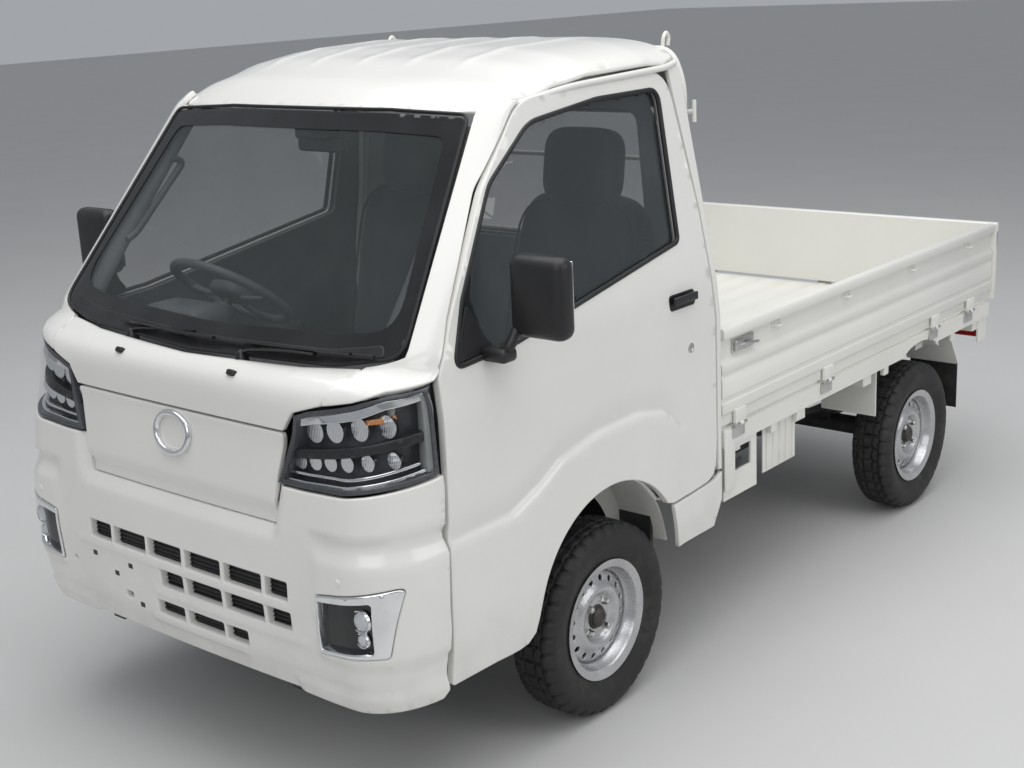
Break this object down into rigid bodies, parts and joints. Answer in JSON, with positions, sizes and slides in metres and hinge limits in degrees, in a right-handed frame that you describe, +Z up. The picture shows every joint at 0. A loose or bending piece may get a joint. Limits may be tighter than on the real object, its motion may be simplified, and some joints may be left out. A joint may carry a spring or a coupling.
{
  "type": "light truck",
  "caption": "Cab-over light truck with a two-seat cab, a flat load bed with three drop-down gates and a guard frame.",
  "frame": {"origin": "on the ground under the middle of the vehicle's bounding box", "axes": "+X to the vehicle's left, +Y to the rear (the front faces -Y), +Z up"},
  "size_m": [1.852, 3.3949, 1.7793],
  "materials": {
    "body_paint": "gloss off-white paint",
    "cab_floor_paint": "dark grey paint",
    "bumper_plastic": "gloss off-white paint on plastic",
    "glass": "clear, faint green tint",
    "lamp": "clear lens over a bright reflector",
    "black_plastic": "grained black",
    "cabin_plastic": "dark grey grain",
    "seat_fabric": "woven dark grey cloth",
    "cast_metal": "raw casting",
    "dark_steel": "black chassis paint",
    "exhaust_steel": "dull steel",
    "tyre": "black rubber",
    "wheel_paint": "silver paint",
    "red_lens": "red lens",
    "flap_rubber": "matt black rubber"
  },
  "bodies": {
    "chassis": {"cab_shell": "body_paint", "cab_floor": "cab_floor_paint", "roof": "body_paint", "windshield": "glass", "rear_window": "glass", "cowl_panel": "body_paint", "front_lid": "body_paint", "front_bumper": "bumper_plastic", "headlamps": "lamp", "fog_lamps": "black_plastic", "wipers": "black_plastic", "dashboard": "cabin_plastic", "seats": "seat_fabric", "engine": "cast_metal", "propeller_shaft": "dark_steel", "rear_axle": "dark_steel", "leaf_springs": "dark_steel", "chassis_frame": "dark_steel", "front_arms": "dark_steel", "fuel_tank": "dark_steel", "muffler": "exhaust_steel", "bed_floor": "body_paint", "headboard": "body_paint", "tail_lamps": "red_lens", "mud_flaps": "flap_rubber"},
    "knuckle_left": {"knuckle_left": "dark_steel"},
    "knuckle_right": {"knuckle_right": "dark_steel"},
    "steering_wheel": {"steering_wheel": "cabin_plastic"},
    "door_left": {"door_left": "body_paint", "door_glass_left": "glass", "mirror_left": "black_plastic"},
    "door_right": {"door_right": "body_paint", "door_glass_right": "glass", "mirror_right": "black_plastic"},
    "gate_left": {"gate_left": "body_paint"},
    "gate_right": {"gate_right": "body_paint"},
    "tailgate": {"tailgate": "body_paint"},
    "wheel_front_left": {"tyre_front_left": "tyre", "rim_front_left": "wheel_paint"},
    "wheel_front_right": {"tyre_front_right": "tyre", "rim_front_right": "wheel_paint"},
    "wheel_rear_left": {"tyre_rear_left": "tyre", "rim_rear_left": "wheel_paint"},
    "wheel_rear_right": {"tyre_rear_right": "tyre", "rim_rear_right": "wheel_paint"}
  },
  "joints": [
    {"name": "steer_left", "type": "hinge", "parent": "chassis", "child": "knuckle_left", "pos_m": [0.61, -0.8445, 0.15], "axis": [-0.1961, 0, 0.9806], "range_deg": [-34, 34]},
    {"name": "steer_right", "type": "hinge", "parent": "chassis", "child": "knuckle_right", "pos_m": [-0.61, -0.8445, 0.15], "axis": [0.1961, 0, 0.9806], "range_deg": [-34, 34]},
    {"name": "steering_wheel_turn", "type": "hinge", "parent": "chassis", "child": "steering_wheel", "pos_m": [-0.33, -1.17, 1.13], "axis": [0, 0.6157, 0.788], "range_deg": [-480, 480]},
    {"name": "wheel_front_left_spin", "type": "hinge", "parent": "knuckle_left", "child": "wheel_front_left", "pos_m": [0.6525, -0.8445, 0.2685], "axis": [1, 0, 0], "continuous": true},
    {"name": "wheel_front_right_spin", "type": "hinge", "parent": "knuckle_right", "child": "wheel_front_right", "pos_m": [-0.6525, -0.8445, 0.2685], "axis": [1, 0, 0], "continuous": true},
    {"name": "wheel_rear_left_spin", "type": "hinge", "parent": "chassis", "child": "wheel_rear_left", "pos_m": [0.6525, 1.0555, 0.2685], "axis": [1, 0, 0], "continuous": true},
    {"name": "wheel_rear_right_spin", "type": "hinge", "parent": "chassis", "child": "wheel_rear_right", "pos_m": [-0.6525, 1.0555, 0.2685], "axis": [1, 0, 0], "continuous": true},
    {"name": "door_left_swing", "type": "hinge", "parent": "chassis", "child": "door_left", "pos_m": [0.722, -1.417, 0.56], "axis": [0, 0, -1], "range_deg": [0, 68]},
    {"name": "gate_left_drop", "type": "hinge", "parent": "chassis", "child": "gate_left", "pos_m": [0.731, 0.7, 0.652], "axis": [0, 1, 0], "range_deg": [0, 172]},
    {"name": "door_right_swing", "type": "hinge", "parent": "chassis", "child": "door_right", "pos_m": [-0.722, -1.417, 0.56], "axis": [0, 0, 1], "range_deg": [0, 68]},
    {"name": "gate_right_drop", "type": "hinge", "parent": "chassis", "child": "gate_right", "pos_m": [-0.731, 0.7, 0.652], "axis": [0, -1, 0], "range_deg": [0, 172]},
    {"name": "tailgate_drop", "type": "hinge", "parent": "chassis", "child": "tailgate", "pos_m": [0, 1.691, 0.652], "axis": [-1, 0, 0], "range_deg": [0, 172]}
  ],
  "couplings": [
    {"joint": "steer_right", "follows": "steer_left", "ratio": 1},
    {"joint": "steering_wheel_turn", "follows": "steer_left", "ratio": 14}
  ]
}
